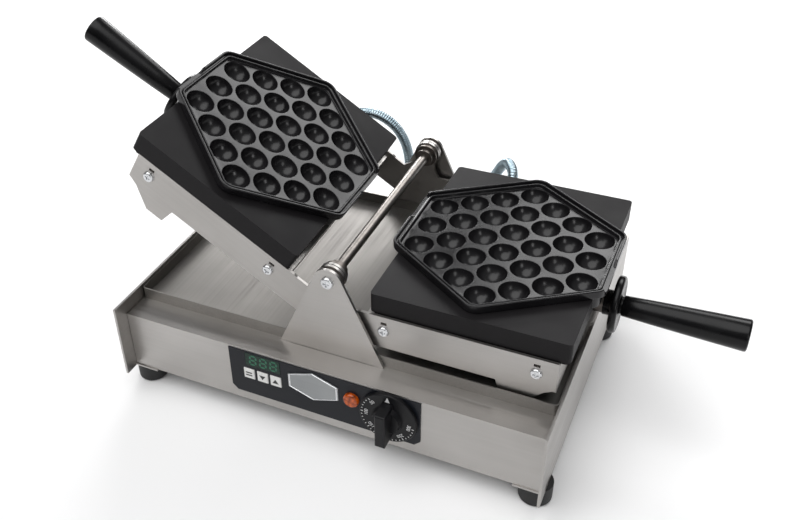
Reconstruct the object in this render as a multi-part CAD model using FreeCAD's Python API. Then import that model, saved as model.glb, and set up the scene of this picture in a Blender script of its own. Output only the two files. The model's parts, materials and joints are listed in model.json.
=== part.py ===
import FreeCAD, Part
import math
import os

# Turn-over bubble-waffle iron with two hinged plate holders, in millimetres.
# Origin: on the table, below the middle of the axle. +X right, +Y back, +Z up.

V = FreeCAD.Vector

# ---- Driving dimensions -------------------------------------------------------------
AXLE_H = 180.0            # axle height over the table
ROD_R = 5.2
LEFT_TILT = 31.5          # the left holder stands raised by this many degrees

# Base
PANEL_X = 227.2           # outer face of a side panel
PANEL_T = 2.5
PANEL_FRONT = -179.6
PANEL_REAR = 159.0
PANEL_LOW = 21.2
PANEL_TOP = 108.0
FLANGE_W = 30.0
FLANGE_T = 2.0
FACE_Y = -163.3           # outer face of the front cover
REAR_Y = 158.0            # outer face of the rear cover
SHEET = 1.5
DECK = 92.0               # top of the deck strips
DECK_EDGE = 100.0         # the strips end this far from the middle
FLOOR_Z = PANEL_LOW + FLANGE_T
FOOT_R = 16.0
FOOT_X = 216.0
FOOT_FRONT = -148.0
FOOT_REAR = 108.0
TRAY_X = 224.2
TRAY_FRONT = -132.5
TRAY_REAR = 132.5
TRAY_T = 1.2
TRAY_TOP = 105.1

# Axle brackets
BRACKET_IN = 133.0        # inner face of a bracket, from the middle
BRACKET_T = 3.0
BRACKET_R = 14.5
BRACKET_FOOT = 56.0
TAB_X = 45.0
TAB_LOW = 66.0
RAIL_X = 50.0
BOLT_X = 30.0
BOLT_Z = 78.0
BOLT_R = 3.0

# Control face: x and table height of each thing on the front cover
OVERLAY = (-101.0, 105.5, 34.0, 90.0)
OVERLAY_T = 1.0
DISPLAY = (-62.5, 80.6, 39.0, 16.0)
KEYS = {"key_start": -78.8, "key_down": -63.5, "key_up": -48.6}
KEY_Z = 61.8
KEY_W = 12.0
KEY_H = 12.5
LAMP = (34.8, 69.5)
LAMP_R = 8.0
DIAL = (73.8, 63.0)
DIAL_R = 29.5
BADGE = (-6.7, 70.5)

# Holder, heights from here on are over the axle
HEATER = (37.5, 228.0)
HEATER_Y = 124.5
HEATER_LIP_Y = 121.5     # the block's lower lip sits between the side plates
HEATER_TOP = -9.2
HEATER_LOW = -34.7
SIDE_TOP = -30.5
EAR_R = 14.0
SIDE_T = 3.0
SIDE_IN = {"left": 121.8, "right": 125.6}
PAN_LOW = -66.5
END_X = 216.5
END_T = 2.5
SCREW_X = (53.3, 200.2)
SCREW_Z = -47.1
ELBOW_X = 95.0
ELBOW_Z = -50.0
ELBOW_Y = 140.0
ELBOW_TOP = -42.0
HOSE_R = 6.0

# Bubble plate
PLATE_X = 133.0
RIM_TOP = -0.5
RIDGE = -2.5
GROOVE = -4.5
FIELD = -6.5
PLUG_LOW = -23.5
HEX = (105.0, 48.5, 119.5)     # half width, corner and apex of the outline
PLUG_INSET = 4.5
BUBBLE_R = 14.8
BUBBLE_DEPTH = 13.0
COLUMN_STEP = 26.85
ROW_STEP = 36.6
COLUMNS = (3, 4, 5, 6, 5, 4, 3)

# Handle, along x
HANDLE_Z = -50.0
GUARD = (240.0, 248.0, 28.4)   # start, end, radius
HUB = (232.0, 12.5)            # start, radius
GRIP = (248.0, 365.0, 10.3, 15.6)
STUD_R = 5.0

# Hose routes over the axle height; each starts at the holder's elbow
RIGHT_ROUTE = [(95, 140, -41.7), (95, 140, -29), (93, 149, -17), (83, 162, -14), (73, 172, -26),
               (65, 174, -44), (52, 168, -54), (36, 157, -58), (31, 151, -69), (31, 151, -82)]
LEFT_ROUTE = [(-102.8, 140, 14.1), (-95.2, 140, 26.5), (-72, 145, 27), (-49, 149, 13),
              (-35, 151, -12), (-31, 151, -46), (-31, 151, -82)]
GLAND_X = 31.0
GLAND_Y = 151.0
NECK_R = 5.4
GLAND_TOP = AXLE_H - 82.0

PARTS = {}


# ---- Helpers ------------------------------------------------------------------------
def box(x0, x1, y0, y1, z0, z1):
    return Part.makeBox(x1 - x0, y1 - y0, z1 - z0, V(x0, y0, z0))


def rod(radius, start, along, length):
    return Part.makeCylinder(radius, length, V(*start), V(*along))


def ring(outer, inner, y0, y1, x=0.0, z=AXLE_H):
    """A bush along Y."""
    low, length = min(y0, y1), abs(y1 - y0)
    return rod(outer, (x, low, z), (0, 1, 0), length).cut(
        rod(inner, (x, low - 1, z), (0, 1, 0), length + 2))


def fuse(shapes):
    body = shapes[0]
    for shape in shapes[1:]:
        body = body.fuse(shape)
    return body.removeSplitter()


def cut(body, tools):
    return body.cut(Part.makeCompound(tools))


def plate_y(points, y0, y1):
    """An (x, z) outline extruded from y0 to y1."""
    ends = [V(x, y0, z) for x, z in points]
    face = Part.Face(Part.makePolygon(ends + ends[:1]))
    return face.extrude(V(0, y1 - y0, 0))


def rounded_face(points, radius, z):
    """A face in the XY plane with every corner rounded."""
    edges = []
    count = len(points)
    trims = []
    for i in range(count):
        corner = V(*points[i], z)
        before = (V(*points[i - 1], z) - corner).normalize()
        after = (V(*points[(i + 1) % count], z) - corner).normalize()
        half = before.getAngle(after) / 2
        reach = radius / math.tan(half)
        bisector = (before + after).normalize()
        centre = corner + bisector * (radius / math.sin(half))
        trims.append((corner + before * reach, centre - bisector * radius, corner + after * reach))
    for i in range(count):
        start, middle, end = trims[i]
        edges.append(Part.Arc(start, middle, end).toShape())
        edges.append(Part.LineSegment(end, trims[(i + 1) % count][0]).toShape())
    return Part.Face(Part.Wire(edges))


def hexagon(inset, radius, z0, z1):
    """The plate's hexagon, moved inwards by inset, as a prism around PLATE_X."""
    half, corner, apex = HEX
    slope = math.hypot(half, apex - corner)
    nx, ny = (apex - corner) / slope, half / slope
    offset = ny * apex - inset
    h = half - inset
    c = (offset - nx * h) / ny
    a = offset / ny
    points = [(PLATE_X + x, y) for x, y in
              ((h, -c), (h, c), (0, a), (-h, c), (-h, -c), (0, -a))]
    return rounded_face(points, radius, z0).extrude(V(0, 0, z1 - z0))


def slab(x0, x1, y0, y1, z0, z1, radius):
    """A box with rounded vertical corners."""
    corners = [(x0, y0), (x1, y0), (x1, y1), (x0, y1)]
    return rounded_face(corners, radius, z0).extrude(V(0, 0, z1 - z0))


def pan_screw(x, y, z, out, head_r, head_h, shank_r, reach):
    """A cross-recessed pan-head screw along Y, head on the plane y; out is +1 or -1."""
    base = V(x, y, z)
    head = Part.makeCylinder(head_r, head_h, base, V(0, out, 0))
    rim = [edge for edge in head.Edges
           if edge.BoundBox.YLength < 0.01 and abs(edge.BoundBox.YMin - y - out * head_h) < 0.01]
    head = head.makeFillet(0.7 * head_h, rim)
    low = y + out * head_h - 1.3
    recess = [box(x - head_r / 2, x + head_r / 2, low, low + 2.6, z - 0.75, z + 0.75),
              box(x - 0.75, x + 0.75, low, low + 2.6, z - head_r / 2, z + head_r / 2)]
    shank = Part.makeCylinder(shank_r, reach, base, V(0, -out, 0))
    return fuse([cut(head, recess), shank])


def tube_path(route, lift):
    """Straight runs joined by tangent arcs, each as large as its two runs allow."""
    points = [V(x, y, z + lift) for x, y, z in route]
    edges = []
    radii = []
    at = points[0]
    for before, corner, after in zip(points, points[1:], points[2:]):
        back = (before - corner).normalize()
        ahead = (after - corner).normalize()
        half = back.getAngle(ahead) / 2
        reach = 0.45 * min(before.distanceToPoint(corner), corner.distanceToPoint(after))
        radius = reach * math.tan(half)
        bisector = (back + ahead).normalize()
        middle = corner + bisector * (radius / math.sin(half) - radius)
        start, end = corner + back * reach, corner + ahead * reach
        edges.append(Part.LineSegment(at, start).toShape())
        edges.append(Part.Arc(start, middle, end).toShape())
        radii.append(round(radius, 1))
        at = end
    edges.append(Part.LineSegment(at, points[-1]).toShape())
    return Part.Wire(edges), radii


def hose(route, name):
    path, radii = tube_path(route, AXLE_H)
    start = path.Vertexes[0].Point
    heading = path.Edges[0].tangentAt(path.Edges[0].FirstParameter)
    section = Part.Wire(Part.makeCircle(HOSE_R, start, heading))
    solid = path.makePipeShell([section], True, False)
    share = solid.Volume / (math.pi * HOSE_R ** 2 * path.Length)
    print(name, "length", round(path.Length, 1), "radii", radii, "volume share", round(share, 4))
    return solid


def both_ends(make):
    """The same piece at the front and at the rear."""
    piece = make()
    return [piece, piece.mirror(V(0, 0, 0), V(0, 1, 0))]


def add(name, *shapes):
    solids = [solid for shape in shapes for solid in shape.Solids]
    PARTS[name] = solids[0] if len(solids) == 1 else Part.makeCompound(solids)


# ---- Base ---------------------------------------------------------------------------
def side_panel():
    wall = box(PANEL_X - PANEL_T, PANEL_X, PANEL_FRONT, PANEL_REAR, PANEL_LOW, PANEL_TOP)
    flange = box(PANEL_X - FLANGE_W, PANEL_X, PANEL_FRONT + 15, PANEL_REAR - 2, PANEL_LOW, FLOOR_Z)
    return fuse([wall, flange])


def hose_holes():
    return [rod(NECK_R + 0.1, (x, GLAND_Y, DECK - 5), (0, 0, 1), 10) for x in (-GLAND_X, GLAND_X)]


def end_cover(y_face, inward):
    """A front or rear wall with its deck strip and the slot for a bracket's tab."""
    half = PANEL_X - PANEL_T - 0.3
    low = FLOOR_Z + SHEET
    y_in = y_face + inward * SHEET
    wall = box(-half, half, min(y_face, y_in), max(y_face, y_in), low, DECK)
    edge = -inward * DECK_EDGE
    strip = box(-half, half, min(y_face, edge), max(y_face, edge), DECK - SHEET, DECK)
    side = -inward
    y0, y1 = sorted((side * (BRACKET_IN - 0.3), side * (BRACKET_IN + BRACKET_T + 0.3)))
    slot = box(-TAB_X - 0.4, TAB_X + 0.4, y0, y1, DECK - 5, DECK + 5)
    return cut(fuse([wall, strip]), [slot])


def front_openings(y0, y1, gap):
    """Holes for the display, keys, lamp and thermostat shaft."""
    x, z, width, height = DISPLAY
    tools = [box(x - width / 2 - gap, x + width / 2 + gap, y0, y1,
                 z - height / 2 - gap, z + height / 2 + gap)]
    for key_x in KEYS.values():
        tools.append(box(key_x - KEY_W / 2 - gap, key_x + KEY_W / 2 + gap, y0, y1,
                         KEY_Z - KEY_H / 2 - gap, KEY_Z + KEY_H / 2 + gap))
    tools.append(rod(4.8 + gap, (LAMP[0], y0, LAMP[1]), (0, 1, 0), y1 - y0))
    tools.append(rod(4.5 + gap, (DIAL[0], y0, DIAL[1]), (0, 1, 0), y1 - y0))
    return tools


def vent_slots():
    """Cooling slots low in the rear wall."""
    return [box(x - 2.5, x + 2.5, REAR_Y - 10, REAR_Y + 10, 40, 70) for x in range(40, 181, 14)]


def crumb_tray():
    outer = slab(-TRAY_X, TRAY_X, TRAY_FRONT, TRAY_REAR, DECK, TRAY_TOP, 4)
    inner = slab(-TRAY_X + TRAY_T, TRAY_X - TRAY_T, TRAY_FRONT + TRAY_T, TRAY_REAR - TRAY_T,
                 DECK + TRAY_T, TRAY_TOP + 5, 4 - TRAY_T)
    return outer.cut(inner)


def bracket(y0, y1):
    """Triangular plate with a rounded apex, a tab through the deck and its bolt holes."""
    span = math.hypot(BRACKET_FOOT, AXLE_H - DECK)
    angle = math.atan2(DECK - AXLE_H, BRACKET_FOOT) + math.acos(BRACKET_R / span)
    touch_x = BRACKET_R * math.cos(angle)
    touch_z = AXLE_H + BRACKET_R * math.sin(angle)
    outline = [(touch_x, touch_z), (BRACKET_FOOT, DECK), (TAB_X, DECK), (TAB_X, TAB_LOW),
               (-TAB_X, TAB_LOW), (-TAB_X, DECK), (-BRACKET_FOOT, DECK), (-touch_x, touch_z)]
    low = min(y0, y1)
    body = fuse([plate_y(outline, y0, y1), rod(BRACKET_R, (0, low, AXLE_H), (0, 1, 0), BRACKET_T)])
    holes = [rod(BOLT_R + 0.1, (0, low - 1, AXLE_H), (0, 1, 0), BRACKET_T + 2)]
    for x in (-BOLT_X, BOLT_X):
        holes.append(rod(BOLT_R + 0.1, (x, low - 1, BOLT_Z), (0, 1, 0), BRACKET_T + 2))
    return cut(body, holes)


def bracket_rail():
    """Inner angle that carries the front bracket's tab."""
    wall = box(-RAIL_X, RAIL_X, -BRACKET_IN + 0.1, -BRACKET_IN + 3.1, FLOOR_Z + SHEET, DECK - SHEET - 1)
    foot = box(-RAIL_X, RAIL_X, -BRACKET_IN + 0.1, -BRACKET_IN + 25, FLOOR_Z + SHEET, FLOOR_Z + SHEET + 3)
    holes = [rod(BOLT_R + 0.1, (x, -BRACKET_IN - 5, BOLT_Z), (0, 1, 0), 20) for x in (-BOLT_X, BOLT_X)]
    return cut(fuse([wall, foot]), holes)


def bracket_bolt(x):
    outer = -BRACKET_IN - BRACKET_T
    head = rod(5.5, (x, outer - 4, BOLT_Z), (0, 1, 0), 4)
    shank = rod(BOLT_R, (x, outer, BOLT_Z), (0, 1, 0), 14)
    nut = rod(5.0, (x, -BRACKET_IN + 3.1, BOLT_Z), (0, 1, 0), 4.5)
    return fuse([head, shank, nut])


def axle():
    """The axle rod with a tapped hole in each end."""
    end = BRACKET_IN - 0.1
    body = rod(ROD_R, (0, -end, AXLE_H), (0, 1, 0), 2 * end)
    taps = [rod(BOLT_R, (0, -end, AXLE_H), (0, 1, 0), 20),
            rod(BOLT_R, (0, end - 20, AXLE_H), (0, 1, 0), 20)]
    return cut(body, taps)


def axle_collar():
    """Stepped collar against the inner face of the left holder's ear."""
    return fuse([ring(12.5, ROD_R, -121.5, -117), ring(9.5, ROD_R, -117, -111)])


def foot(x, y):
    body = rod(FOOT_R, (x, y, 0), (0, 0, 1), PANEL_LOW)
    low = [edge for edge in body.Edges if edge.BoundBox.ZMax < 0.01]
    return body.makeFillet(3.0, low)


def overlay():
    x0, x1, z0, z1 = OVERLAY
    r = 6.0
    outline = [(x0, z1), (x1, z1), (x1, z0 + r), (x1 - r, z0), (x0 + r, z0), (x0, z0 + r)]
    sheet = plate_y(outline, FACE_Y - OVERLAY_T, FACE_Y)
    return cut(sheet, front_openings(FACE_Y - 5, FACE_Y + 5, 0.4))


def key(x):
    cap = box(x - KEY_W / 2, x + KEY_W / 2, FACE_Y - 2.2, FACE_Y + 3.5,
              KEY_Z - KEY_H / 2, KEY_Z + KEY_H / 2)
    front = [edge for edge in cap.Edges if edge.BoundBox.YMax < FACE_Y - 2.1]
    return cap.makeChamfer(0.6, front)


def badge():
    """Blank hexagonal plate, pointed left and right."""
    x, z = BADGE
    outline = [(x - 27.3, z - 8.2), (x - 27.3, z + 8.2), (x, z + 17.8), (x + 27.3, z + 8.2),
               (x + 27.3, z - 8.2), (x, z - 17.8)]
    front = FACE_Y - OVERLAY_T
    plate = plate_y(outline, front - 1.2, front)
    edges = [edge for edge in plate.Edges if edge.BoundBox.YMax < front - 1.1]
    return plate.makeChamfer(0.5, edges)


def lamp():
    x, z = LAMP
    front = FACE_Y - OVERLAY_T
    lens = rod(LAMP_R, (x, front, z), (0, -1, 0), 4.5)
    lens = lens.makeFillet(2.5, [edge for edge in lens.Edges if edge.BoundBox.YMax < front - 4.4])
    return fuse([lens, rod(4.8, (x, front, z), (0, 1, 0), 16)])


def knob():
    """Scale skirt, hub and bar grip on a blind bore for the shaft."""
    x, z = DIAL
    back = FACE_Y - OVERLAY_T - 0.8
    skirt = rod(DIAL_R, (x, back, z), (0, -1, 0), 4.0)
    skirt = skirt.makeFillet(1.2, [edge for edge in skirt.Edges if edge.BoundBox.YMax < back - 3.9])
    hub = Part.makeCone(15.5, 13.5, 5.0, V(x, back - 4.0, z), V(0, -1, 0))
    bar = box(x - 5.2, x + 5.2, back - 24, back - 3, z - 20, z + 20)
    bar = bar.makeFillet(1.8, [edge for edge in bar.Edges if edge.BoundBox.YMax < back - 3.1])
    bore = rod(3.05, (x, back + 1, z), (0, -1, 0), 15)
    return fuse([skirt, hub, bar]).cut(bore)


def thermostat():
    x, z = DIAL
    inner = FACE_Y + SHEET
    body = slab(x - 18, x + 18, inner, inner + 30, z - 18, z + 18, 3)
    shaft = rod(3.0, (x, inner + 1, z), (0, -1, 0), 14)
    capsule = rod(4.0, (x - 10, inner + 29, z - 10), (0, 1, 0), 40)
    return fuse([body, shaft, capsule])


def timer_board():
    """Circuit board on four posts, with a switch behind each key and the display block."""
    inner = FACE_Y + SHEET
    board = box(-97, -38, inner + 9, inner + 10.6, 48, 88)
    pieces = [board]
    for x in (-94.5, -40.2):
        for z in (50.5, 69.0):
            pieces.append(rod(1.8, (x, inner, z), (0, 1, 0), 9.5))
    for x in KEYS.values():
        pieces.append(rod(2.0, (x, inner + 3.4, KEY_Z), (0, 1, 0), 6))
        pieces.append(box(x - 3, x + 3, inner + 5, inner + 9.5, KEY_Z - 3, KEY_Z + 3))
    x, z, width, height = DISPLAY
    pieces.append(box(x - width / 2, x + width / 2, inner + 1.5, inner + 9.5,
                      z - height / 2, z + height / 2))
    pieces.append(box(-66, -54, inner + 10, inner + 22, 66, 86))
    return fuse(pieces)


def terminal_block():
    base = box(-160, -96, 84, 104, FLOOR_Z + SHEET, 42)
    wells = [rod(3.0, (-152 + 12 * i, y, 34), (0, 0, 1), 10) for i in range(5) for y in (89, 99)]
    return cut(base, wells)


def mains_gland():
    """Cable gland in the rear wall: dome nut outside, lock nut inside, bore right through."""
    x, z = -150.0, 56.0
    outside = fuse([rod(11, (x, REAR_Y, z), (0, 1, 0), 6),
                    Part.makeCone(10, 7, 12, V(x, REAR_Y + 6, z), V(0, 1, 0)),
                    rod(7.9, (x, REAR_Y - 12, z), (0, 1, 0), 13),
                    rod(11, (x, REAR_Y - SHEET - 5, z), (0, 1, 0), 5)])
    return outside.cut(rod(4.5, (x, REAR_Y - 20, z), (0, 1, 0), 60))


def base_hose_gland(side):
    """Collar on the deck with a neck pressed through it."""
    x = side * GLAND_X
    collar = rod(7.0, (x, GLAND_Y, DECK), (0, 0, 1), GLAND_TOP - DECK)
    neck = rod(NECK_R, (x, GLAND_Y, DECK - 7), (0, 0, 1), 7)
    return fuse([collar, neck]).cut(rod(4.0, (x, GLAND_Y, 60), (0, 0, 1), 100))


def build_base():
    panel = side_panel()
    add("side_panel_right", panel)
    add("side_panel_left", panel.mirror(V(0, 0, 0), V(1, 0, 0)))
    add("front_cover", cut(end_cover(FACE_Y, 1), front_openings(FACE_Y - 5, FACE_Y + 5, 0.4)))
    gland_hole = rod(8.0, (-150, REAR_Y - 10, 56), (0, 1, 0), 20)
    add("rear_cover", cut(end_cover(REAR_Y, -1), vent_slots() + hose_holes() + [gland_hole]))
    half = PANEL_X - PANEL_T - 0.3
    floor_vents = [box(x - 2, x + 2, -40, 40, 20, 30) for x in range(-150, 151, 20)]
    add("bottom_plate", cut(box(-half, half, FACE_Y, REAR_Y, FLOOR_Z, FLOOR_Z + SHEET), floor_vents))
    add("crumb_tray", crumb_tray())
    add("bracket_front", bracket(-BRACKET_IN - BRACKET_T, -BRACKET_IN))
    add("bracket_rear", bracket(BRACKET_IN, BRACKET_IN + BRACKET_T))
    add("bracket_rails", *both_ends(bracket_rail))
    add("bracket_bolts", *[bolt for x in (-BOLT_X, BOLT_X) for bolt in both_ends(lambda: bracket_bolt(x))])
    add("axle_rod", axle())
    add("axle_collars", *both_ends(axle_collar))
    spacers = both_ends(lambda: ring(11, ROD_R, -BRACKET_IN + 0.2, -128.8))
    washers = both_ends(lambda: ring(12, ROD_R, -125.45, -124.95))
    add("axle_spacers", *spacers, *washers)
    screw_y = -BRACKET_IN - BRACKET_T
    add("axle_screws", *both_ends(lambda: pan_screw(0, screw_y, AXLE_H, -1, 6.5, 3.4, BOLT_R - 0.01, 20)))
    add("rubber_feet", *[foot(x, y) for x in (-FOOT_X, FOOT_X) for y in (FOOT_FRONT, FOOT_REAR)])


def build_controls():
    front = FACE_Y - OVERLAY_T
    add("control_overlay", overlay())
    x, z, width, height = DISPLAY
    add("display_window", box(x - width / 2, x + width / 2, front - 0.2, FACE_Y + 2.8,
                              z - height / 2, z + height / 2))
    for name, key_x in KEYS.items():
        add(name, key(key_x))
    add("badge_plate", badge())
    add("indicator_lamp", lamp())
    add("thermostat_knob", knob())
    add("thermostat_body", thermostat())
    add("timer_board", timer_board())
    add("terminal_block", terminal_block())
    add("mains_gland", mains_gland())
    add("base_hose_glands", base_hose_gland(-1), base_hose_gland(1))


# ---- Holder, modelled flat on the right with the axle as origin ------------------------
def side_plate(inner, rear):
    """Profiled sheet with the hinge ear, the foot lug, two screw slots and the elbow's hole."""
    y0, y1 = (inner, inner + SIDE_T) if rear else (-inner - SIDE_T, -inner)
    outline = [(8, -11), (8, -22), (13, SIDE_TOP - 1), (26, SIDE_TOP - 1), (30, SIDE_TOP), (219, SIDE_TOP),
               (219, -62), (208.5, -67.5), (188.3, -86.4), (169, -86.4), (163.5, -67.5), (-6, -67.5),
               (-13.8, -2)]
    ear = rod(EAR_R, (0, y0, 0), (0, 1, 0), SIDE_T)
    holes = [rod(ROD_R + 0.1, (0, y0 - 1, 0), (0, 1, 0), SIDE_T + 2)]
    for x in SCREW_X:
        holes.append(rod(2.6, (x, y0 - 1, SCREW_Z), (0, 1, 0), SIDE_T + 2))
        holes.append(box(x - 3, x + 3, y0 - 1, y1 + 1, SCREW_Z + 7.4, SCREW_Z + 10.4))
    if rear:
        holes.append(rod(HOSE_R + 0.3, (ELBOW_X, y0 - 1, ELBOW_Z), (0, 1, 0), SIDE_T + 2))
    return cut(fuse([plate_y(outline, y0, y1), ear]), holes)


def belly_pan(inner):
    """Sheet tray under the heater, with side walls, an axle-side wall and inward flanges."""
    reach = inner - 0.1
    x0, x1 = 34.0, END_X - 0.3
    top = HEATER_LOW - 0.1
    outer = box(x0, x1, -reach, reach, PAN_LOW, top)
    room = box(x0 + 1, x1 + 5, -reach + 1, reach - 1, PAN_LOW + 1, top - 1)
    mouth = box(x0 + 8, x1 + 5, -reach + 14, reach - 14, top - 5, top + 5)
    holes = []
    for x in SCREW_X:
        holes.append(rod(2.6, (x, -reach - 5, SCREW_Z), (0, 1, 0), 2 * reach + 10))
    holes.append(rod(HOSE_R + 0.3, (ELBOW_X, reach - 10, ELBOW_Z), (0, 1, 0), 20))
    return cut(outer, [room, mouth] + holes)


def end_wall(inner):
    reach = inner - 0.1
    wall = box(END_X, END_X + END_T, -reach, reach, PAN_LOW, HEATER_LOW - 0.3)
    return wall.cut(rod(STUD_R + 0.2, (END_X - 1, 0, HANDLE_Z), (1, 0, 0), END_T + 2))


def heater_block():
    upper = slab(*HEATER, -HEATER_Y, HEATER_Y, SIDE_TOP + 0.3, HEATER_TOP, 4)
    lip = slab(HEATER[0] + 2, HEATER[1] - 2, -HEATER_LIP_Y, HEATER_LIP_Y, HEATER_LOW, SIDE_TOP + 0.3, 4)
    return fuse([upper, lip]).cut(hexagon(PLUG_INSET - 0.3, 8, PLUG_LOW - 0.4, 5))


def heating_element():
    """Tubular element: two straight runs and a half-round end, under the block."""
    z = HEATER_LOW - 5.0
    bend = Part.makeTorus(60, 4, V(140, 0, z), V(0, 0, 1), 0, 360, 180)
    bend.rotate(V(140, 0, z), V(0, 0, 1), -90)
    runs = [rod(4, (58, y, z), (1, 0, 0), 82) for y in (-60, 60)]
    return fuse([bend] + runs)


def bubble_centres():
    for index, count in enumerate(COLUMNS):
        x = PLATE_X + COLUMN_STEP * (index - 3)
        for row in range(count):
            yield x, ROW_STEP * (row - (count - 1) / 2)


def bubble_plate():
    """Cast plate: outer lip, groove, ridge, sunk field with bubbles, and the plug below."""
    flange = hexagon(0, 12, HEATER_TOP, RIM_TOP)
    plug = hexagon(PLUG_INSET, 8, PLUG_LOW, HEATER_TOP)
    body = fuse([flange, plug])
    inside = hexagon(2.5, 10, RIDGE, 5)
    groove = hexagon(2.5, 10, GROOVE, 5).cut(hexagon(5.0, 8, GROOVE - 1, 6))
    field = hexagon(7.0, 7, FIELD, 5)
    lip_gap = [box(PLATE_X - 106, PLATE_X - 102.5, 2, 46, GROOVE, 5),
               box(PLATE_X + 102.5, PLATE_X + 106, -46, -2, GROOVE, 5)]
    ball_r = (BUBBLE_R ** 2 + BUBBLE_DEPTH ** 2) / (2 * BUBBLE_DEPTH)
    balls = [Part.makeSphere(ball_r, V(x, y, FIELD - BUBBLE_DEPTH + ball_r)) for x, y in bubble_centres()]
    return cut(body.cut(inside).cut(groove).cut(field), lip_gap + balls)


def plate_latch():
    """Spring clip on the handle side that holds the bubble plate down."""
    x0 = HEATER[1] + 0.2
    spring = box(x0, x0 + 1.2, -14, 14, -32, PLUG_LOW - 0.6)
    tab = box(x0, x0 + 6, -9, 9, -33.2, -32)
    screw = rod(2.5, (x0, 0, -28.5), (1, 0, 0), 3.2)
    return fuse([spring, tab, screw])


def holder_screws(inner):
    reach = 11.0
    screws = []
    for x in SCREW_X:
        for out in (-1, 1):
            face = out * (inner + SIDE_T)
            screws.append(pan_screw(x, face, SCREW_Z, out, 5.6, 3.0, 2.5, reach))
    return screws


def handle_collar():
    """Turned collar on a stud that runs through the end wall, with its lock nut."""
    start = END_X + END_T
    collar = rod(11.5, (start, 0, HANDLE_Z), (1, 0, 0), HUB[0] - start)
    stud = rod(STUD_R, (208, 0, HANDLE_Z), (1, 0, 0), 92)
    nut = rod(9, (210.5, 0, HANDLE_Z), (1, 0, 0), END_X - 210.5)
    return fuse([collar, stud, nut])


def handle_guard():
    """Round guard disc with its hub towards the holder."""
    start, end, radius = GUARD
    disc = rod(radius, (start, 0, HANDLE_Z), (1, 0, 0), end - start)
    disc = disc.makeFillet(2.6, [edge for edge in disc.Edges if edge.BoundBox.XLength < 0.01])
    hub = rod(HUB[1], (HUB[0], 0, HANDLE_Z), (1, 0, 0), start - HUB[0] + 1)
    return fuse([disc, hub]).cut(rod(STUD_R, (HUB[0] - 1, 0, HANDLE_Z), (1, 0, 0), 20))


def handle_grip():
    """Round grip that widens outwards, with a softened flat end."""
    x0, x1, r0, r1 = GRIP
    body = Part.makeCone(r0, r1, x1 - x0 - 2, V(x0 + 2, 0, HANDLE_Z), V(1, 0, 0))
    body = body.makeFillet(1.5, [edge for edge in body.Edges if edge.BoundBox.XMin > x1 - 0.1])
    neck = rod(8.5, (x0, 0, HANDLE_Z), (1, 0, 0), 3)
    return fuse([body, neck]).cut(rod(STUD_R, (x0 - 1, 0, HANDLE_Z), (1, 0, 0), 301 - x0))


def hose_elbow(inner):
    """Elbow screwed into the rear side plate, with its mouth up and a lock nut inside."""
    face = inner + SIDE_T
    corner = V(ELBOW_X, ELBOW_Y, ELBOW_Z)
    stub = rod(7.0, (ELBOW_X, face, ELBOW_Z), (0, 1, 0), ELBOW_Y - face)
    bend = Part.makeSphere(7.0, corner)
    mouth = Part.makeCylinder(7.0, ELBOW_TOP - ELBOW_Z, corner, V(0, 0, 1))
    flange = rod(9.5, (ELBOW_X, face, ELBOW_Z), (0, 1, 0), 3.5)
    thread = rod(HOSE_R, (ELBOW_X, inner - 8, ELBOW_Z), (0, 1, 0), face - inner + 8)
    nut = rod(9.0, (ELBOW_X, inner - 6.2, ELBOW_Z), (0, 1, 0), 5)
    return fuse([stub, bend, mouth, flange, thread, nut])


def build_holder(side):
    inner = SIDE_IN[side]
    pieces = {
        "side_plate_front": [side_plate(inner, False)],
        "side_plate_rear": [side_plate(inner, True)],
        "end_wall": [end_wall(inner)],
        "belly_pan": [belly_pan(inner)],
        "heater_block": [heater_block()],
        "heating_element": [heating_element()],
        "insulation_pad": [slab(46, 206, -104, 104, -63, -45, 6)],
        "bubble_plate": [bubble_plate()],
        "plate_latch": [plate_latch()],
        "side_screws": holder_screws(inner),
        "handle_collar": [handle_collar()],
        "handle_guard": [handle_guard()],
        "handle_grip": [handle_grip()],
        "hose_elbow": [hose_elbow(inner)],
    }
    for name, shapes in pieces.items():
        placed = []
        for shape in shapes:
            if side == "left":
                shape = shape.mirror(V(0, 0, 0), V(1, 0, 0))
                shape.rotate(V(0, 0, 0), V(0, 1, 0), LEFT_TILT)
            shape.translate(V(0, 0, AXLE_H))
            placed.append(shape)
        add(side + "_" + name, *placed)


build_base()
build_controls()
build_holder("left")
build_holder("right")
add("left_hose", hose(LEFT_ROUTE, "left_hose"))
add("right_hose", hose(RIGHT_ROUTE, "right_hose"))

os.makedirs("parts", exist_ok=True)
for node, shape in PARTS.items():
    if not shape.isValid():
        print("invalid shape:", node)
    shape.exportStep("parts/" + node + ".step")
print(len(PARTS), "nodes")
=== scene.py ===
import bmesh
import bpy
import json
import math
from mathutils import Matrix, Vector


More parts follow.
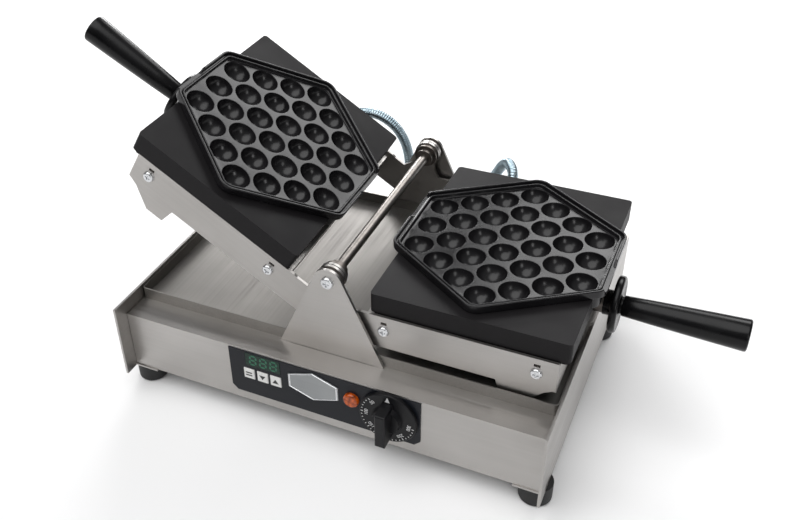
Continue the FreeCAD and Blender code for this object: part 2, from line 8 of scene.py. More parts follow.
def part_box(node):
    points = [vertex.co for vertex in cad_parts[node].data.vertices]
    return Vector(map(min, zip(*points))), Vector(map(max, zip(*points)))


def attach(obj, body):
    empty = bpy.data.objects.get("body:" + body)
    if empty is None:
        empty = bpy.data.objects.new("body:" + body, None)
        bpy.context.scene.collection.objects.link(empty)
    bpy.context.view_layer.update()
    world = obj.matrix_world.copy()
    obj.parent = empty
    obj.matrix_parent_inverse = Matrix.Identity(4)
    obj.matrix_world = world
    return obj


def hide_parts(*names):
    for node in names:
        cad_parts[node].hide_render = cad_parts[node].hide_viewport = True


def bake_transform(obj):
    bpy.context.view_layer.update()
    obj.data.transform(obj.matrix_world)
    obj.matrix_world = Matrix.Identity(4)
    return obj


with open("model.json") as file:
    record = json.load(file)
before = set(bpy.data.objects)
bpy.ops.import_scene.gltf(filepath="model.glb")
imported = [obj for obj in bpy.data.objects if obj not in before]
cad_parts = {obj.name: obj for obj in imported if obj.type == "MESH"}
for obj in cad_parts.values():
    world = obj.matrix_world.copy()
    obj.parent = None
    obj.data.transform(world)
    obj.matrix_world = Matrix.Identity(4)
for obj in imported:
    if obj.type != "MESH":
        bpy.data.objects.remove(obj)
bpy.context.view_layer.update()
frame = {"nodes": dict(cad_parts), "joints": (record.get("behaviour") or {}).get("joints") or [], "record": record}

NODES = frame["nodes"]
JOINTS = {joint["name"]: joint for joint in frame["joints"]}

# The holders are built flat on the right, in millimetres from the axle, and then placed.
MM = 0.001
AXLE = Vector(JOINTS["left_holder_hinge"]["pos_m"])
TILT = math.radians(-JOINTS["left_holder_hinge"]["range_deg"][0])
SIDES = ("left", "right")

PLATE_X = 133.0
HEX_HALF, HEX_CORNER, HEX_APEX = 105.0, 48.5, 119.5
RIM_TOP, RIDGE, GROOVE, FIELD, PLUG_LOW, FLANGE_LOW = -0.5, -2.5, -4.5, -6.5, -23.5, -9.2
BUBBLE_R, BUBBLE_DEPTH, BUBBLE_LIP = 14.5, 12.8, 0.5
COLUMNS = (3, 4, 5, 6, 5, 4, 3)
COLUMN_STEP, ROW_STEP = 26.85, 36.6
HANDLE_Z = -50.0
GUARD_X = 240.0
GRIP_START, GRIP_END = 248.0, 365.0

# Hose routes over the axle height, in metres, from the base gland up to the holder's elbow.
ROUTES = {
    "right": [(0.031, 0.151, -0.082), (0.031, 0.151, -0.069), (0.036, 0.157, -0.058),
              (0.052, 0.168, -0.054), (0.065, 0.174, -0.044), (0.073, 0.172, -0.026),
              (0.083, 0.162, -0.014), (0.093, 0.149, -0.017), (0.095, 0.140, -0.029),
              (0.095, 0.140, -0.0417)],
    "left": [(-0.031, 0.151, -0.082), (-0.031, 0.151, -0.046), (-0.035, 0.151, -0.012),
             (-0.049, 0.149, 0.013), (-0.072, 0.145, 0.027), (-0.0952, 0.140, 0.0265),
             (-0.1028, 0.140, 0.0141)],
}
HOSE_R = 0.006
RIB_PITCH = 0.0026
RIB_DEPTH = 0.0005
RIB_STEPS = 6


# ---- Mesh helpers ---------------------------------------------------------------------
def link_mesh(name, bm, smooth_angle=35):
    mesh = bpy.data.meshes.new(name)
    bm.normal_update()
    bm.to_mesh(mesh)
    bm.free()
    piece = bpy.data.objects.new(name, mesh)
    bpy.context.scene.collection.objects.link(piece)
    mesh.shade_smooth()
    mesh.set_sharp_from_angle(angle=math.radians(smooth_angle))
    return piece


def add_loop(bm, points):
    return [bm.verts.new(point) for point in points]


def bridge(bm, first, second):
    """Quads between two closed loops of the same length."""
    count = len(first)
    for i in range(count):
        j = (i + 1) % count
        bm.faces.new((first[i], first[j], second[j], second[i]))


def holder_matrix(side):
    """From millimetres on the flat right holder to metres in the row frame."""
    place = Matrix.Translation(AXLE) @ Matrix.Scale(MM, 4)
    if side == "right":
        return place
    mirror = Matrix.Scale(-1, 4, Vector((1, 0, 0)))
    return place @ Matrix.Rotation(TILT, 4, "Y") @ mirror


def place_on_holder(bm, side):
    bm.transform(holder_matrix(side))
    bmesh.ops.recalc_face_normals(bm, faces=bm.faces)


def lathe(bm, profile, centre, axis, segments):
    """Turns (along, radius) points round an axis through centre; radius 0 closes an end."""
    axis = Vector(axis).normalized()
    side = axis.orthogonal().normalized()
    other = axis.cross(side)
    previous = None
    for along, radius in profile:
        middle = Vector(centre) + axis * along
        if radius == 0:
            loop = [bm.verts.new(middle)] * segments
        else:
            loop = add_loop(bm, [
                middle + (side * math.cos(t) + other * math.sin(t)) * radius
                for t in (2 * math.pi * k / segments for k in range(segments))])
        if previous:
            for i in range(segments):
                j = (i + 1) % segments
                corners = list(dict.fromkeys((previous[i], previous[j], loop[j], loop[i])))
                if len(corners) > 2:
                    bm.faces.new(corners)
        previous = loop


def round_edges(piece, width):
    bevel = piece.modifiers.new("edges", "BEVEL")
    bevel.width = width
    bevel.segments = 2
    bevel.limit_method = "ANGLE"
    bevel.angle_limit = math.radians(30)
    bevel.harden_normals = True


# ---- Materials ------------------------------------------------------------------------
class Shader:
    """A Principled material with noise-driven colour, roughness and relief."""

    def __init__(self, name, **sockets):
        self.material = bpy.data.materials.new(name)
        self.material.use_nodes = True
        self.tree = self.material.node_tree
        self.bsdf = self.tree.nodes["Principled BSDF"]
        for socket, value in sockets.items():
            self.bsdf.inputs[socket.replace("_", " ")].default_value = value
        self.relief = None

    def node(self, kind, **values):
        made = self.tree.nodes.new(kind)
        for key, value in values.items():
            if key in made.inputs:
                made.inputs[key].default_value = value
            else:
                setattr(made, key, value)
        return made

    def link(self, source, target):
        self.tree.links.new(source, target)

    def coords(self, scale=(1, 1, 1), turn=(0, 0, 0)):
        place = self.node("ShaderNodeTexCoord")
        spin = self.node("ShaderNodeMapping")
        spin.inputs["Rotation"].default_value = turn
        self.link(place.outputs["Object"], spin.inputs["Vector"])
        stretch = self.node("ShaderNodeMapping")
        stretch.inputs["Scale"].default_value = scale
        self.link(spin.outputs["Vector"], stretch.inputs["Vector"])
        return stretch.outputs["Vector"]

    def noise(self, scale, detail=4.0, stretch=(1, 1, 1), turn=(0, 0, 0)):
        made = self.node("ShaderNodeTexNoise", Scale=scale, Detail=detail)
        self.link(self.coords(stretch, turn), made.inputs["Vector"])
        return made.outputs["Fac"]

    def ramp(self, value, low, high, start=0.3, stop=0.7):
        made = self.node("ShaderNodeMapRange")
        made.inputs["From Min"].default_value = start
        made.inputs["From Max"].default_value = stop
        made.inputs["To Min"].default_value = low
        made.inputs["To Max"].default_value = high
        self.link(value, made.inputs["Value"])
        return made.outputs["Result"]

    def colour(self, value, dark, light, start=0.3, stop=0.7):
        made = self.node("ShaderNodeValToRGB")
        made.color_ramp.elements[0].position = start
        made.color_ramp.elements[0].color = (*dark, 1)
        made.color_ramp.elements[1].position = stop
        made.color_ramp.elements[1].color = (*light, 1)
        self.link(value, made.inputs["Fac"])
        self.link(made.outputs["Color"], self.bsdf.inputs["Base Color"])

    def rough(self, value, low, high):
        self.link(self.ramp(value, low, high), self.bsdf.inputs["Roughness"])

    def bump(self, value, distance, strength=0.5):
        made = self.node("ShaderNodeBump", Distance=distance, Strength=strength)
        self.link(value, made.inputs["Height"])
        if self.relief:
            self.link(self.relief, made.inputs["Normal"])
        self.relief = made.outputs["Normal"]
        self.link(self.relief, self.bsdf.inputs["Normal"])


def brushed(name, along, dark, light, rough, turn=(0, 0, 0)):
    """Sheet metal brushed along one axis of the row frame."""
    shader = Shader(name, Metallic=1.0)
    stretch = [420.0, 420.0, 420.0]
    stretch["xyz".index(along)] = 6.0
    streaks = shader.noise(1.0, 5.0, stretch, turn)
    cloud = shader.noise(9.0, 3.0)
    shader.colour(cloud, dark, light)
    shader.rough(streaks, rough - 0.07, rough + 0.09)
    shader.bump(streaks, 0.00004, 0.35)
    return shader.material


def moulded(name, dark, light, rough, speck=900.0, depth=0.00003, spec=0.5):
    """Moulded or coated surface with a fine speckle."""
    shader = Shader(name, Specular_IOR_Level=spec)
    cloud = shader.noise(30.0, 4.0)
    fine = shader.noise(speck, 3.0)
    shader.colour(cloud, dark, light)
    shader.rough(cloud, rough - 0.05, rough + 0.06)
    shader.bump(fine, depth, 0.5)
    return shader.material


def turned(name, dark, light, rough):
    """Turned or plated metal with rings round the y axis."""
    shader = Shader(name, Metallic=1.0)
    rings = shader.noise(1.0, 3.0, (30.0, 1500.0, 30.0))
    blotch = shader.noise(120.0, 3.0)
    shader.colour(blotch, dark, light)
    shader.rough(rings, rough - 0.03, rough + 0.04)
    shader.bump(rings, 0.00001, 0.25)
    return shader.material


def lit(name, dark, light, glow, strength, rough=0.3, facet=700.0):
    """Lens or segment that shines a little, mottled inside."""
    shader = Shader(name, Roughness=rough, Emission_Strength=strength)
    facets = shader.node("ShaderNodeTexVoronoi", Scale=facet)
    shader.link(shader.coords(), facets.inputs["Vector"])
    shader.colour(facets.outputs["Distance"], light, dark, 0.0, 0.8)
    shader.bsdf.inputs["Emission Color"].default_value = (*glow, 1)
    shader.bump(facets.outputs["Distance"], 0.0002, 0.6)
    return shader.material


STEEL_DARK, STEEL_LIGHT = (0.37, 0.355, 0.34), (0.45, 0.435, 0.42)
LEFT_TURN = (0, -TILT, 0)


def build_materials():
    made = {}
    made["steel_x"] = brushed("steel_x", "x", STEEL_DARK, STEEL_LIGHT, 0.36)
    made["steel_y"] = brushed("steel_y", "y", STEEL_DARK, STEEL_LIGHT, 0.36)
    made["steel_left"] = brushed("steel_left", "x", STEEL_DARK, STEEL_LIGHT, 0.36, LEFT_TURN)
    made["tray_steel"] = brushed("tray_steel", "y", (0.22, 0.21, 0.20), (0.29, 0.28, 0.265), 0.46)
    made["zinc_steel"] = turned("zinc_steel", (0.60, 0.61, 0.62), (0.72, 0.73, 0.75), 0.26)
    made["axle_steel"] = turned("axle_steel", (0.20, 0.185, 0.17), (0.26, 0.24, 0.225), 0.36)
    made["dark_steel"] = turned("dark_steel", (0.14, 0.125, 0.115), (0.20, 0.18, 0.165), 0.38)
    made["hose_metal"] = turned("hose_metal", (0.30, 0.40, 0.46), (0.46, 0.55, 0.60), 0.30)
    made["rubber"] = moulded("rubber", (0.006, 0.006, 0.006), (0.012, 0.012, 0.012), 0.60, 500)
    made["overlay_black"] = moulded("overlay_black", (0.006, 0.007, 0.010), (0.009, 0.010, 0.014),
                                    0.34, 300, spec=0.2)
    made["display_glass"] = moulded("display_glass", (0.001, 0.014, 0.008), (0.001, 0.022, 0.012),
                                    0.2, 80, spec=0.3)
    made["key_white"] = moulded("key_white", (0.66, 0.66, 0.64), (0.74, 0.74, 0.72), 0.42, 700)
    made["badge_silver"] = brushed("badge_silver", "x", (0.26, 0.27, 0.275), (0.36, 0.37, 0.375), 0.34)
    made["lamp_amber"] = lit("lamp_amber", (0.07, 0.008, 0.0), (0.55, 0.09, 0.004), (1.0, 0.16, 0.01),
                             0.07, 0.12, 260)
    made["knob_black"] = moulded("knob_black", (0.004, 0.004, 0.005), (0.007, 0.007, 0.008), 0.36, spec=0.2)
    made["housing_grey"] = moulded("housing_grey", (0.10, 0.10, 0.105), (0.15, 0.15, 0.155), 0.5)
    made["circuit_board"] = moulded("circuit_board", (0.01, 0.09, 0.03), (0.02, 0.14, 0.05), 0.35, 200)
    made["heater_coating"] = moulded("heater_coating", (0.007, 0.0064, 0.007), (0.011, 0.0100, 0.011),
                                     0.50, 1400, spec=0.15)
    made["plate_coating"] = moulded("plate_coating", (0.006, 0.0056, 0.0064), (0.010, 0.0094, 0.0106),
                                    0.24, 1600, spec=0.34)
    made["insulation"] = moulded("insulation", (0.52, 0.49, 0.42), (0.68, 0.65, 0.58), 0.9, 300, 0.0008)
    made["handle_black"] = moulded("handle_black", (0.002, 0.002, 0.0024), (0.004, 0.004, 0.0045),
                                   0.26, 1100, spec=0.22)
    made["print_white"] = moulded("print_white", (0.62, 0.62, 0.62), (0.72, 0.72, 0.72), 0.5)
    made["print_black"] = moulded("print_black", (0.01, 0.01, 0.01), (0.02, 0.02, 0.02), 0.5)
    made["digit_green"] = lit("digit_green", (0.0, 0.03, 0.015), (0.0, 0.06, 0.03), (0.0, 0.42, 0.19), 0.12)
    return made


MATERIALS = build_materials()
SLOTS = {entry["node"]: entry["material_slot"] for entry in frame["record"]["subparts"]}
BRUSHED_ALONG_Y = ("side_panel_left", "side_panel_right", "left_end_wall", "right_end_wall")


def paint(piece, material):
    piece.data.materials.clear()
    piece.data.materials.append(MATERIALS[material])


def material_for(node):
    slot = SLOTS[node]
    if slot != "brushed_steel":
        return slot
    if node in BRUSHED_ALONG_Y:
        return "steel_y"
    return "steel_left" if node.startswith("left_") else "steel_x"


EDGE_WIDTH = {"heater_block": 0.0012, "side_panel": 0.0005, "crumb_tray": 0.0004, "thermostat_knob": 0.0006,
              "bracket": 0.0004, "front_cover": 0.0006, "rear_cover": 0.0006, "side_plate": 0.0004,
              "handle_collar": 0.0006, "axle_collars": 0.0005, "axle_spacers": 0.0005, "badge": 0.0002}


def finish_cad_nodes():
    """Every kept CAD node gets its material, and visible ones get rounded edges."""
    for node, piece in NODES.items():
        paint(piece, material_for(node))
        for word, width in EDGE_WIDTH.items():
            if word in node:
                round_edges(piece, width)


# ---- Hoses ----------------------------------------------------------------------------
def route_line(name, points):
    """The NURBS line through a route, as closely spaced points."""
    curve = bpy.data.curves.new(name, "CURVE")
    curve.dimensions = "3D"
    curve.resolution_u = 32
    spline = curve.splines.new("NURBS")
    spline.points.add(len(points) - 1)
    for point, (x, y, z) in zip(spline.points, points):
        point.co = (x, y, z + AXLE.z, 1)
    spline.order_u = 3
    spline.use_endpoint_u = True
    holder = bpy.data.objects.new(name, curve)
    bpy.context.scene.collection.objects.link(holder)
    bpy.context.view_layer.update()
    mesh = bpy.data.meshes.new_from_object(holder)
    line = [vertex.co.copy() for vertex in mesh.vertices]
    bpy.data.objects.remove(holder)
    bpy.data.curves.remove(curve)
    bpy.data.meshes.remove(mesh)
    return line


def evenly(line, step):
    """Points every step along a line, with its length."""
    lengths = [0.0]
    for a, b in zip(line, line[1:]):
        lengths.append(lengths[-1] + (b - a).length)
    total = lengths[-1]
    count = int(total / step)
    points = []
    at = 0
    for k in range(count + 1):
        want = total * k / count
        while at < len(line) - 2 and lengths[at + 1] < want:
            at += 1
        share = (want - lengths[at]) / max(lengths[at + 1] - lengths[at], 1e-9)
        points.append(line[at].lerp(line[at + 1], share))
    return points, total


def build_hose(side):
    """Wound conduit: a tube whose ribs follow the hose's own line."""
    line, length = evenly(route_line(side + "_line", ROUTES[side]), RIB_PITCH / RIB_STEPS)
    bm = bmesh.new()
    segments = 24
    up = (line[1] - line[0]).orthogonal().normalized()
    previous = None
    for k, point in enumerate(line):
        ahead = (line[min(k + 1, len(line) - 1)] - line[max(k - 1, 0)]).normalized()
        up = (up - ahead * up.dot(ahead)).normalized()
        across = ahead.cross(up)
        ring = []
        for i in range(segments):
            turn = i / segments
            wave = 0.5 + 0.5 * math.cos(2 * math.pi * (k / RIB_STEPS + turn))
            radius = HOSE_R - RIB_DEPTH * (1 - wave)
            angle = 2 * math.pi * turn
            ring.append(point + (up * math.cos(angle) + across * math.sin(angle)) * radius)
        loop = add_loop(bm, ring)
        if previous:
            bridge(bm, previous, loop)
        else:
            bm.faces.new(list(reversed(loop)))
        previous = loop
    bm.faces.new(previous)
    bmesh.ops.recalc_face_normals(bm, faces=bm.faces)
    piece = link_mesh(side + "_conduit", bm, 60)
    paint(piece, "hose_metal")
    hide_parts(side + "_hose")
    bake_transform(piece)


# ---- Holder pieces ----------------------------------------------------------------------
def holder_piece(side, name, bm, node, material, smooth_angle):
    """Places a piece on its holder, in place of the CAD node."""
    place_on_holder(bm, side)
    piece = link_mesh(side + "_" + name, bm, smooth_angle)
    paint(piece, material)
    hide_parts(side + "_" + node)
    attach(piece, side + "_holder")
    return piece


# ---- Bubble plates --------------------------------------------------------------------
def hexagon_loop(inset, z):
    """Rounded hexagon, moved inwards by inset, with the same count of points at any inset."""
    slope = math.hypot(HEX_HALF, HEX_APEX - HEX_CORNER)
    nx, ny = (HEX_APEX - HEX_CORNER) / slope, HEX_HALF / slope
    offset = ny * HEX_APEX - inset
    half = HEX_HALF - inset
    corner = (offset - nx * half) / ny
    corners = [Vector((PLATE_X + x, y, z)) for x, y in
               ((half, -corner), (half, corner), (0, offset / ny),
                (-half, corner), (-half, -corner), (0, -offset / ny))]
    radius = max(15.0 - inset, 5.0)
    rounds = []
    for i, point in enumerate(corners):
        before = (corners[i - 1] - point).normalized()
        after = (corners[(i + 1) % 6] - point).normalized()
        opening = before.angle(after) / 2
        centre = point + (before + after).normalized() * (radius / math.sin(opening))
        first = point + before * (radius / math.tan(opening)) - centre
        last = point + after * (radius / math.tan(opening)) - centre
        rounds.append([centre + first.slerp(last, k / 8) * radius for k in range(9)])
    points = []
    for i, arc in enumerate(rounds):
        points += arc
        after = rounds[(i + 1) % 6][0]
        points += [arc[-1].lerp(after, k / 24) for k in range(1, 24)]
    return points


def bubble_centres():
    for index, count in enumerate(COLUMNS):
        x = PLATE_X + COLUMN_STEP * (index - 3)
        for row in range(count):
            yield x, ROW_STEP * (row - (count - 1) / 2)


def lower_lip_gap(points):
    """The outer lip is missing on half of each short side."""
    for point in points:
        inner = point.x < PLATE_X - 101 and 2 < point.y < 46
        outer = point.x > PLATE_X + 101 and -46 < point.y < -2
        if inner or outer:
            point.z = min(point.z, GROOVE)
    return points


PLATE_PROFILE = [
    (6.5, PLUG_LOW), (4.9, PLUG_LOW + 0.4), (4.5, PLUG_LOW + 1.4), (4.5, FLANGE_LOW - 0.3), (4.2, FLANGE_LOW),
    (0.6, FLANGE_LOW), (0.1, FLANGE_LOW + 0.5), (0.0, FLANGE_LOW + 1.2), (0.0, RIM_TOP - 0.9),
    (0.2, RIM_TOP - 0.3), (0.7, RIM_TOP), (1.8, RIM_TOP), (2.3, RIM_TOP - 0.3), (2.5, RIM_TOP - 0.9),
    (2.6, GROOVE + 0.6), (3.0, GROOVE), (4.5, GROOVE), (4.9, GROOVE + 0.5), (5.0, RIDGE - 0.5),
    (5.3, RIDGE), (6.4, RIDGE), (6.9, RIDGE - 0.4), (7.1, FIELD + 0.7), (7.7, FIELD)]


def build_bubble_plate(side):
    """Cast plate with its lip, groove, ridge and thirty lipped bubbles."""
    bm = bmesh.new()
    previous = None
    for inset, z in PLATE_PROFILE:
        points = hexagon_loop(inset, z)
        if inset < 3.1 and z > GROOVE:
            points = lower_lip_gap(points)
        loop = add_loop(bm, points)
        if previous:
            bridge(bm, previous, loop)
        else:
            bm.faces.new(list(reversed(loop)))
        previous = loop
    rims = [bm.edges.get((previous[i - 1], previous[i])) for i in range(len(previous))]
    segments = 40
    ball = (BUBBLE_R ** 2 + BUBBLE_DEPTH ** 2) / (2 * BUBBLE_DEPTH)
    centre_z = FIELD - BUBBLE_DEPTH + ball
    bowl = [(BUBBLE_R + BUBBLE_LIP, FIELD), (BUBBLE_R + 0.2, FIELD - 0.08), (BUBBLE_R + 0.05, FIELD - 0.3)]
    bowl += [(ball * math.sin(math.radians(a)), centre_z - ball * math.cos(math.radians(a)))
             for a in range(78, 0, -7)]
    for x, y in bubble_centres():
        above = None
        for radius, z in bowl:
            loop = add_loop(bm, [Vector((x + radius * math.cos(t), y + radius * math.sin(t), z))
                                 for t in (2 * math.pi * k / segments for k in range(segments))])
            if above:
                bridge(bm, above, loop)
            else:
                rims += [bm.edges.new((loop[i - 1], loop[i])) for i in range(segments)]
            above = loop
        bottom = bm.verts.new((x, y, centre_z - ball))
        for i in range(segments):
            bm.faces.new((above[i], above[(i + 1) % segments], bottom))
    bmesh.ops.triangle_fill(bm, use_beauty=True, edges=rims)
    piece = holder_piece(side, "cast_plate", bm, "bubble_plate", "plate_coating", 60)
    flat = piece.modifiers.new("flat_field", "WEIGHTED_NORMAL")
    flat.weight = 100
    flat.keep_sharp = True


# ---- Handles --------------------------------------------------------------------------
def build_grip(side):
    """Turned grip: a groove by the guard, a slight swell and a softened end."""
    length = GRIP_END - GRIP_START
    profile = [(0.0, 0.0), (0.0, 8.4), (1.4, 8.4), (1.8, 9.6), (2.6, 10.2), (0.25 * length, 11.7),
               (0.5 * length, 13.1), (0.75 * length, 14.4), (0.9 * length, 15.1), (length - 2.4, 15.5),
               (length - 1.2, 15.3), (length - 0.4, 14.6), (length, 13.4), (length - 0.3, 12.2),
               (length - 0.8, 11.0), (length - 0.8, 0.0)]
    bm = bmesh.new()
    lathe(bm, profile, (GRIP_START, 0.0, HANDLE_Z), (1, 0, 0), 72)
    holder_piece(side, "grip", bm, "handle_grip", "handle_black", 40)


def build_guard(side):
    """Disc guard with a rolled rim, a dished outer face and a stepped hub."""
    profile = [(-8.0, 0.0), (-8.0, 11.8), (-7.4, 12.5), (-1.5, 12.5), (-0.6, 13.2), (0.0, 14.6),
               (0.0, 24.0), (0.3, 26.6), (1.3, 27.9), (2.8, 28.4), (5.2, 28.4), (6.7, 27.9), (7.7, 26.6),
               (8.0, 25.0), (7.4, 22.8), (6.8, 16.0), (7.0, 12.0), (7.8, 10.4), (8.0, 9.0), (8.0, 0.0)]
    bm = bmesh.new()
    lathe(bm, profile, (GUARD_X, 0.0, HANDLE_Z), (1, 0, 0), 96)
    holder_piece(side, "guard", bm, "handle_guard", "handle_black", 40)


# ---- Control face ---------------------------------------------------------------------
def prism(bm, outline, y, depth):
    """An (x, z) outline on the plane y, raised towards the front by depth."""
    back = add_loop(bm, [Vector((x, y, z)) for x, z in outline])
    front = add_loop(bm, [Vector((x, y - depth, z)) for x, z in outline])
    bridge(bm, back, front)
    bm.faces.new(front)
    bm.faces.new(list(reversed(back)))


def print_piece(name, bm, material, body="base"):
    bmesh.ops.recalc_face_normals(bm, faces=bm.faces)
    piece = link_mesh(name, bm, 30)
    paint(piece, material)
    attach(piece, body)
    return piece


PRINT_DEPTH = 0.0001
SEGMENTS = {"a": (0.5, 1.0, True), "b": (1.0, 0.75, False), "c": (1.0, 0.25, False), "d": (0.5, 0.0, True),
            "e": (0.0, 0.25, False), "f": (0.0, 0.75, False), "g": (0.5, 0.5, True)}
DIGITS = ("abcdefg", "abcdefg", "abcdefg")
DIGIT_START, DIGIT_PITCH = 0.0048, 0.0116
DIGIT_SIZE = (0.0066, 0.0112)
DIGIT_STROKE = 0.0010

# Dial print, in metres from the knob's axis, over an arc of angles from +X
DIAL_ARC = (135, 350)
TICK_R, NUMBER_R = 0.0275, 0.0218
TICK_LONG, TICK_SHORT, TICK_HALF_WIDTH = 0.0024, 0.0014, 0.00035
POINTER = ((-0.0025, 0.0212), (0.0025, 0.0212), (0.0, 0.0272))
NUMBER_SIZE = 0.0052


def build_digits():
    """Three seven-segment digits in the display window."""
    low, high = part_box("display_window")
    bm = bmesh.new()
    width, height = DIGIT_SIZE
    stroke = DIGIT_STROKE
    for index, shown in enumerate(DIGITS):
        x0 = low.x + DIGIT_START + index * DIGIT_PITCH
        z0 = (low.z + high.z - height) / 2
        for letter in shown:
            u, v, flat = SEGMENTS[letter]
            slant = 0.0010 * v
            x, z = x0 + width * u + slant, z0 + height * v
            long = (width if flat else height / 2) / 2 - 0.0006
            tips = [(-long, 0), (-long + stroke, stroke), (long - stroke, stroke), (long, 0),
                    (long - stroke, -stroke), (-long + stroke, -stroke)]
            outline = [(x + a, z + b) if flat else (x + b, z + a) for a, b in tips]
            prism(bm, outline, low.y, PRINT_DEPTH)
    print_piece("display_digits", bm, "digit_green")


def build_key_marks():
    """Generic marks: two bars on start/stop, an arrow down and an arrow up."""
    marks = {"key_start": [[(-3.6, 0.9), (3.6, 0.9), (3.6, 2.4), (-3.6, 2.4)],
                           [(-3.6, -2.4), (3.6, -2.4), (3.6, -0.9), (-3.6, -0.9)]],
             "key_down": [[(-3.5, 2.4), (0.0, -2.9), (3.5, 2.4)]],
             "key_up": [[(-3.5, -2.4), (3.5, -2.4), (0.0, 2.9)]]}
    for node, outlines in marks.items():
        low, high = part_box(node)
        x, z = (low.x + high.x) / 2, (low.z + high.z) / 2
        bm = bmesh.new()
        for outline in outlines:
            prism(bm, [(x + a * MM, z + b * MM) for a, b in outline], low.y, PRINT_DEPTH)
        print_piece(node + "_mark", bm, "print_black", node + "_body")


def build_badge_border():
    """Raised border of the blank hexagonal badge."""
    low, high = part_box("badge_plate")
    middle = (low + high) / 2
    half, corner, apex = (high.x - low.x) / 2, 0.0082, (high.z - low.z) / 2
    bm = bmesh.new()
    loops = []
    for scale, y in ((0.97, low.y), (0.96, low.y - 0.0003), (0.915, low.y - 0.0003), (0.905, low.y)):
        points = [(-half, -corner), (-half, corner), (0, apex), (half, corner), (half, -corner), (0, -apex)]
        loops.append(add_loop(bm, [Vector((middle.x + a * scale, y, middle.z + b * scale))
                                   for a, b in points]))
    for first, second in zip(loops, loops[1:] + loops[:1]):
        bridge(bm, first, second)
    print_piece("badge_border", bm, "zinc_steel")


def build_dial_scale():
    """Ticks, numbers and pointer printed on the knob's skirt, rising counter-clockwise."""
    low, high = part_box("thermostat_knob")
    x, z = (low.x + high.x) / 2, (low.z + high.z) / 2
    face = high.y - 0.0040
    bm = bmesh.new()
    first, last = (math.radians(a) for a in DIAL_ARC)
    for k in range(26):
        angle = first + (last - first) * k / 25
        long = TICK_SHORT if k % 5 else TICK_LONG
        outward = Vector((math.cos(angle), 0, math.sin(angle)))
        across = Vector((-math.sin(angle), 0, math.cos(angle))) * TICK_HALF_WIDTH
        middle = Vector((x, face, z)) + outward * TICK_R
        corners = [middle - across, middle + across, middle + across - outward * long,
                   middle - across - outward * long]
        prism(bm, [(c.x, c.z) for c in corners], face, PRINT_DEPTH)
    prism(bm, [(x + a, z + b) for a, b in POINTER], face, PRINT_DEPTH)
    print_piece("dial_ticks", bm, "print_white", "knob")
    for k in range(6):
        angle = first + (last - first) * k / 5
        curve = bpy.data.curves.new("dial_number_%d" % (50 * (k + 1)), "FONT")
        curve.body = str(50 * (k + 1))
        curve.size = NUMBER_SIZE
        curve.extrude = 0.00005
        curve.align_x = "CENTER"
        curve.align_y = "CENTER"
        number = bpy.data.objects.new(curve.name, curve)
        bpy.context.scene.collection.objects.link(number)
        spot = Vector((x + NUMBER_R * math.cos(angle), face - 0.00006, z + NUMBER_R * math.sin(angle)))
        stand = Matrix.Rotation(math.radians(90), 4, "X")
        spin = Matrix.Rotation(-(angle - math.radians(90)), 4, "Y")
        number.matrix_world = Matrix.Translation(spot) @ spin @ stand
        curve.materials.append(MATERIALS["print_white"])
        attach(number, "knob")


# ---- Stage ----------------------------------------------------------------------------
def build_camera():
    data = bpy.data.cameras.new("camera")
    data.lens = 42.89
    data.sensor_width = 36
    data.shift_x = 0.0813
    data.shift_y = -0.0025
    camera = bpy.data.objects.new("camera", data)
    camera.location = (0.3259, -0.7592, 0.7178)
    camera.rotation_euler = [math.radians(a) for a in (54.035, 2.086, 25.430)]
    bpy.context.scene.collection.objects.link(camera)
    bpy.context.scene.camera = camera


def area_light(name, place, target, size, power):
    data = bpy.data.lights.new(name, "AREA")
    data.shape = "RECTANGLE"
    data.size, data.size_y = size
    data.energy = power
    lamp = bpy.data.objects.new(name, data)
    lamp.location = place
    lamp.rotation_euler = (Vector(target) - Vector(place)).to_track_quat("-Z", "Y").to_euler()
    bpy.context.scene.collection.objects.link(lamp)


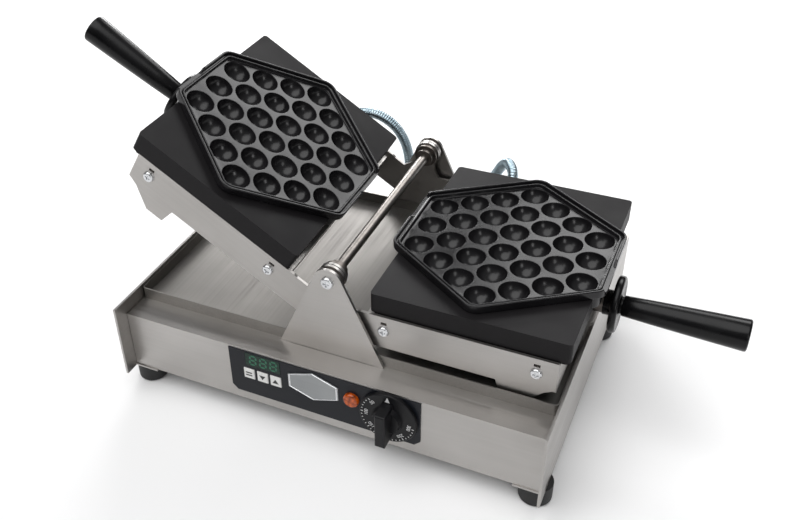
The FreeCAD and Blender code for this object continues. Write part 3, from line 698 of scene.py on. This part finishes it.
def build_world():
    """Studio surroundings: dim near the horizon, bright overhead."""
    world = bpy.data.worlds.new("studio")
    world.use_nodes = True
    tree = world.node_tree
    place = tree.nodes.new("ShaderNodeTexCoord")
    split = tree.nodes.new("ShaderNodeSeparateXYZ")
    ramp = tree.nodes.new("ShaderNodeValToRGB")
    ramp.color_ramp.elements[0].position = 0.05
    ramp.color_ramp.elements[0].color = (0.05, 0.05, 0.05, 1)
    ramp.color_ramp.elements[1].position = 0.75
    ramp.color_ramp.elements[1].color = (0.36, 0.36, 0.365, 1)
    tree.links.new(place.outputs["Generated"], split.inputs["Vector"])
    tree.links.new(split.outputs["Z"], ramp.inputs["Fac"])
    tree.links.new(ramp.outputs["Color"], tree.nodes["Background"].inputs["Color"])
    bpy.context.scene.world = world


def build_stage():
    bm = bmesh.new()
    bmesh.ops.create_grid(bm, x_segments=8, y_segments=8, size=6.0)
    floor = link_mesh("floor", bm)
    shader = Shader("floor_white")
    grain = shader.noise(3.0, 2.0)
    shader.colour(grain, (0.86, 0.86, 0.86), (0.90, 0.90, 0.90))
    shader.rough(grain, 0.7, 0.8)
    floor.data.materials.append(shader.material)
    build_world()
    area_light("key_soft", (-1.2, -1.3, 1.5), (0, 0, 0.1), (0.9, 0.7), 4)
    area_light("back_soft", (0.25, 1.5, 1.35), (0.05, 0, 0.12), (1.1, 0.7), 12)
    area_light("low_back_soft", (-0.85, 1.5, 0.75), (0, 0, 0.15), (0.7, 0.45), 13)
    area_light("side_soft", (1.3, -1.3, 0.8), (0.1, 0, 0.1), (0.4, 0.8), 5)
    sun = bpy.data.lights.new("dome", "SUN")
    sun.energy = 2.05
    sun.angle = math.radians(60)
    lamp = bpy.data.objects.new("dome", sun)
    lamp.rotation_euler = [math.radians(a) for a in (14, -10, 0)]
    bpy.context.scene.collection.objects.link(lamp)
    bpy.context.scene.view_settings.view_transform = "Standard"


build_camera()
for holder_side in SIDES:
    build_hose(holder_side)
finish_cad_nodes()
for holder_side in SIDES:
    build_bubble_plate(holder_side)
    build_grip(holder_side)
    build_guard(holder_side)
build_digits()
build_key_marks()
build_badge_border()
build_dial_scale()
build_stage()
